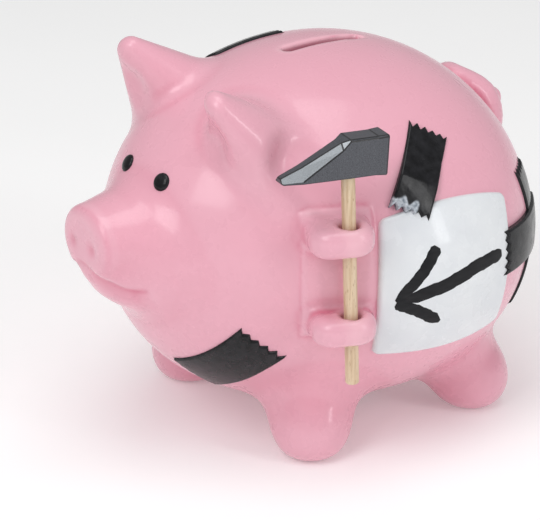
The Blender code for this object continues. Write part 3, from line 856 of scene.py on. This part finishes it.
# ------------------------------------------------------------------ painted arrow
def brush_stroke(name, points, width):
    """Ragged-edged stroke on the panel; points are (s, t) on the label chart."""
    path = smooth_path([(x, y, 0.0) for x, y in points], 10)
    path = np.array(path)[:, :2] * (LABEL_W, LABEL_H)
    step = np.gradient(path, axis=0)
    side = np.stack([-step[:, 1], step[:, 0]], -1)
    side = side / length(side)[:, None]
    n = len(path)
    k = np.linspace(0.0, 1.0, n)
    taper = np.minimum(1.0, np.minimum(k * 9.0 + 0.55, (1.0 - k) * 5.0 + 0.30))
    rough = 0.05 * np.sin(k * 31.0) + 0.04 * np.sin(k * 73.0 + 1.0)
    rows = []
    for j in np.linspace(-1.0, 1.0, 9):
        wobble = 1.0 + rough * abs(j) * (1.0 if j > 0 else -1.0)
        rows.append(path + side * (j * width * 0.5 * taper * wobble)[:, None])
    st = np.stack(rows, 1) / (LABEL_W, LABEL_H)
    near = label_chart(st[..., 0], st[..., 1])
    edge = np.abs(np.linspace(-1.0, 1.0, 9))[None, :] * np.ones((n, 1))
    lift = LABEL_RISE + 0.02 + 0.10 * (1.0 - edge ** 4)
    top = settle(body, near, lift, 10)
    ids = np.arange(n * 9).reshape(n, 9)
    quads = np.stack([ids[:-1, :-1], ids[1:, :-1], ids[1:, 1:], ids[:-1, 1:]], -1).reshape(-1, 4)
    ob = add(name, top.reshape(-1, 3), quads, BRUSH)
    if ob.data.polygons[len(quads) // 2].normal.x < 0.0:
        ob.data.flip_normals()
    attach(ob, "bank")


BRUSH = brush_black()


def arrow():
    """A hand-painted arrow pointing at the hammer."""
    brush_stroke("arrow_shaft", ((0.88, 0.60), (0.66, 0.57), (0.42, 0.50), (0.14, 0.44)), 4.6)
    brush_stroke("arrow_barb_upper", ((0.38, 0.74), (0.28, 0.60), (0.12, 0.445)), 4.2)
    brush_stroke("arrow_barb_lower", ((0.12, 0.43), (0.27, 0.36), (0.42, 0.26)), 4.2)


# ------------------------------------------------------------------ eyes
def turned(name, profile, centre, axis, sides, mat, smooth=True):
    """Closed turned piece from a list of (radius, height)."""
    z = unit(np.array(axis, float))
    x = unit(np.cross((0.0, 1.0, 0.0), z))
    y = np.cross(z, x)
    verts = []
    rows = []
    for r, h in profile:
        if r <= 0.0:
            rows.append([len(verts)] * sides)
            verts.append(centre + z * h)
            continue
        rows.append(list(range(len(verts), len(verts) + sides)))
        for k in range(sides):
            a = 2.0 * math.pi * k / sides
            verts.append(centre + z * h + (x * math.cos(a) + y * math.sin(a)) * r)
    faces = []
    for low, high in zip(rows[:-1], rows[1:]):
        for k in range(sides):
            m = (k + 1) % sides
            ring = [low[k], low[m], high[m], high[k]]
            faces.append([v for i, v in enumerate(ring) if v not in ring[:i]])
    return add(name, verts, faces, mat, smooth)


def eyes():
    for sign, name in ((1.0, "eye_left"), (-1.0, "eye_right")):
        c = settle(body, np.array([[EYE[0] * sign, EYE[1], EYE[2]]]))[0]
        n = gradient(body, c[None])[0]
        dome = [(0.0, -1.4)]
        for k in range(1, 14):
            a = math.radians(-90.0 + 180.0 * k / 14.0)
            dome.append((EYE_R * math.cos(a) ** 0.8, 1.4 * math.sin(a)))
        dome.append((0.0, 1.4))
        ob = turned(name + "_dome", dome, c, n, 40, EYE_BLACK)
        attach(ob, "bank")
        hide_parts(name)


# ------------------------------------------------------------------ hammer
LEAN = np.array((0.0, HANDLE_LEAN, 1.0))
UP = LEAN / np.sqrt(LEAN @ LEAN)
HEAD_BOTTOM = 122.4
HEAD_TOP = 137.4
HAMMER_YAW = 8.0
HAMMER_PITCH = 3.0
HAMMER_POLL = 14.2
HAMMER_PEEN = -26.6
HAMMER_HALF = 4.6


def handle():
    reach = (HEAD_TOP - 1.6 - HANDLE_FOOT[2]) / UP[2]
    r = HANDLE_R
    stick = [(0.0, 0.0), (r - 0.5, 0.0), (r - 0.2, 0.12), (r, 0.5)]
    stick += [(r, reach * k / 12.0) for k in range(1, 12)]
    stick += [(r, reach - 0.4), (r - 0.4, reach), (0.0, reach)]
    ob = turned("handle_dowel", stick, np.array(HANDLE_FOOT), LEAN, 40, beech())
    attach(ob, "hammer")
    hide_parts("hammer_handle")


def hammer_head():
    yaw = math.radians(HAMMER_YAW)
    fore = unit(np.array([math.sin(yaw), math.cos(yaw), -math.tan(math.radians(HAMMER_PITCH))]))
    wide = unit(np.cross(fore, UP))
    tall = np.cross(wide, fore)
    c = handle_at((HEAD_BOTTOM + HEAD_TOP) * 0.5)
    h = (HEAD_TOP - HEAD_BOTTOM) * 0.5
    w = HAMMER_HALF
    poll = HAMMER_POLL
    peen = HAMMER_PEEN
    # rings from the poll forward: (along, bottom, shoulder, top, half width low, shoulder, top)
    rings = (
        (poll, -h + 0.5, h - 1.0, h - 0.4, w - 0.5, w - 0.5, w - 0.9),
        (poll - 0.6, -h, h - 0.6, h, w, w, w - 0.5),
        (poll - 4.2, -h + 0.25, h - 0.9, h - 0.2, w - 0.25, w - 0.25, w - 0.9),
        (poll - 4.5, -h + 0.3, h - 0.9, h - 0.3, w - 0.3, w - 0.3, w - 0.9),
        (-1.2, -h + 0.3, h - 0.9, h - 0.3, w - 0.3, w - 0.3, w - 0.9),
        (-4.0, -h + 0.3, h - 3.9, h - 1.6, w - 0.35, w - 0.35, w - 2.4),
        (-18.5, -h + 0.3, -h + 1.3, -h + 6.0, w - 0.7, w - 0.9, w - 3.0),
        (peen + 0.8, -h + 0.4, -h + 1.0, -h + 3.0, w - 1.8, w - 2.0, w - 3.3),
        (peen, -h + 0.8, -h + 1.3, -h + 2.5, w - 2.2, w - 2.4, w - 3.4),
    )
    verts = []
    for along, z0, z1, z2, w0, w1, w2 in rings:
        for a, b in ((w0, z0), (w1, z1), (w2, z2), (-w2, z2), (-w1, z1), (-w0, z0)):
            verts.append(c + fore * along + wide * a + tall * b)
    faces = [list(range(6)), [6 * len(rings) - 1 - k for k in range(6)]]
    # the sloped upper faces of the peen taper, which get a paler lacquer as a painted highlight
    lit_facets = []
    for k in range(len(rings) - 1):
        for m in range(6):
            n = (m + 1) % 6
            if k >= 4 and m in (1, 3):
                lit_facets.append(len(faces))
            faces.append([6 * k + m, 6 * k + 6 + m, 6 * k + 6 + n, 6 * k + n])
    dark = head_lacquer("head_lacquer", (0.042, 0.044, 0.054), (0.115, 0.120, 0.138))
    ob = add("head_forging", verts, faces, dark, smooth=False)
    # a light grey copy of the black lacquer: painted highlight on the facets that face the lamps
    ob.data.materials.append(head_lacquer("head_facet_painted_highlight", (0.27, 0.29, 0.31), (0.42, 0.45, 0.48)))
    ob.data.materials.append(head_lacquer("head_edge", (0.012, 0.012, 0.014), (0.03, 0.03, 0.033)))
    for i in lit_facets:
        ob.data.polygons[i].material_index = 1
    bevel = ob.modifiers.new("edge", "BEVEL")
    bevel.width = 0.00035
    bevel.segments = 2
    bevel.limit_method = "ANGLE"
    bevel.angle_limit = math.radians(18.0)
    bevel.material = 2
    apply_modifiers(ob)
    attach(ob, "hammer")
    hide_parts("hammer_head")


# ------------------------------------------------------------------ plug
def plug():
    profile = (
        (0.0, 4.9), (5.2, 4.9), (5.6, 5.1), (5.9, 5.6), (8.2, 5.6), (8.6, 5.2), (9.0, 4.85),
        (13.6, 4.8), (14.3, 5.0), (14.5, 5.4), (14.5, 5.9), (14.2, 6.2), (13.7, 6.3),
        (11.3, 6.3), (11.15, 6.5), (11.1, 8.2), (11.15, 10.4), (10.6, 11.1), (9.6, 11.3), (0.0, 11.3),
    )
    c = np.array((0.0, PLUG_Y, 0.0))
    ob = turned("plug_moulding", profile, c, (0.0, 0.0, 1.0), 64, plug_rubber())
    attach(ob, "plug")
    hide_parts("base_plug")


# ------------------------------------------------------------------ floor, light, camera
def floor():
    m, nodes, links, b = shader("floor_paper", (0.93, 0.93, 0.93), 0.75)
    tone = ramp(
        nodes, links, noise(nodes, links, 9.0),
        ((0.3, (0.925, 0.925, 0.925)), (0.7, (0.94, 0.94, 0.94))),
    )
    links.new(tone, b.inputs["Base Color"])
    b.inputs["Emission Color"].default_value = (1.0, 1.0, 1.0, 1.0)
    b.inputs["Emission Strength"].default_value = 0.15
    mesh = bpy.data.meshes.new("floor")
    r = 6.0
    mesh.from_pydata([(-r, -r, 0.0), (r, -r, 0.0), (r, r, 0.0), (-r, r, 0.0)], [], [(0, 1, 2, 3)])
    mesh.materials.append(m)
    ob = bpy.data.objects.new("floor", mesh)
    bpy.context.scene.collection.objects.link(ob)


def soft_box(name, azimuth, elevation, away, size, watts):
    """Area lamp aimed at the pig's middle."""
    lamp = bpy.data.lights.new(name, "AREA")
    lamp.shape = "RECTANGLE"
    lamp.size, lamp.size_y = size
    lamp.energy = watts
    ob = bpy.data.objects.new(name, lamp)
    a = math.radians(azimuth)
    e = math.radians(elevation)
    back = np.array((math.sin(a) * math.cos(e), -math.cos(a) * math.cos(e), math.sin(e)))
    ob.location = tuple(back * away + np.array((0.0, 0.0, 0.07)))
    ob.rotation_euler = (math.pi / 2 - e, 0.0, a)
    bpy.context.scene.collection.objects.link(ob)


def lights():
    world = bpy.data.worlds.new("studio")
    world.use_nodes = True
    bg = world.node_tree.nodes["Background"]
    bg.inputs["Color"].default_value = (1.0, 1.0, 1.0, 1.0)
    bg.inputs["Strength"].default_value = 0.40
    bpy.context.scene.world = world
    soft_box("key", 20.0, 42.0, 1.3, (0.55, 0.75), 5.2)
    soft_box("strip", 108.0, 22.0, 1.2, (0.14, 0.9), 2.6)
    soft_box("top", 60.0, 82.0, 1.4, (0.9, 0.9), 6.6)


LOOK = (-3.64, -13.31, 59.18)


def camera():
    """Long lens from the pig's front left, a little above it."""
    az = math.radians(54.97)
    el = math.radians(23.66)
    away = 1.1
    look = (np.array(LOOK) + OFFSET) * MM
    back = np.array((math.sin(az) * math.cos(el), -math.cos(az) * math.cos(el), math.sin(el)))
    cam = bpy.data.cameras.new("camera")
    cam.lens = 193.88
    cam.sensor_width = 36.0
    cam.clip_end = 50.0
    ob = bpy.data.objects.new("camera", cam)
    ob.location = tuple(look + back * away)
    ob.rotation_euler = (math.pi / 2 - el, 0.0, az)
    bpy.context.scene.collection.objects.link(ob)
    bpy.context.scene.camera = ob
    bpy.context.scene.view_settings.view_transform = "Standard"


casting()
panel()
arrow()
strips()
eyes()
handle()
hammer_head()
plug()
floor()
lights()
camera()
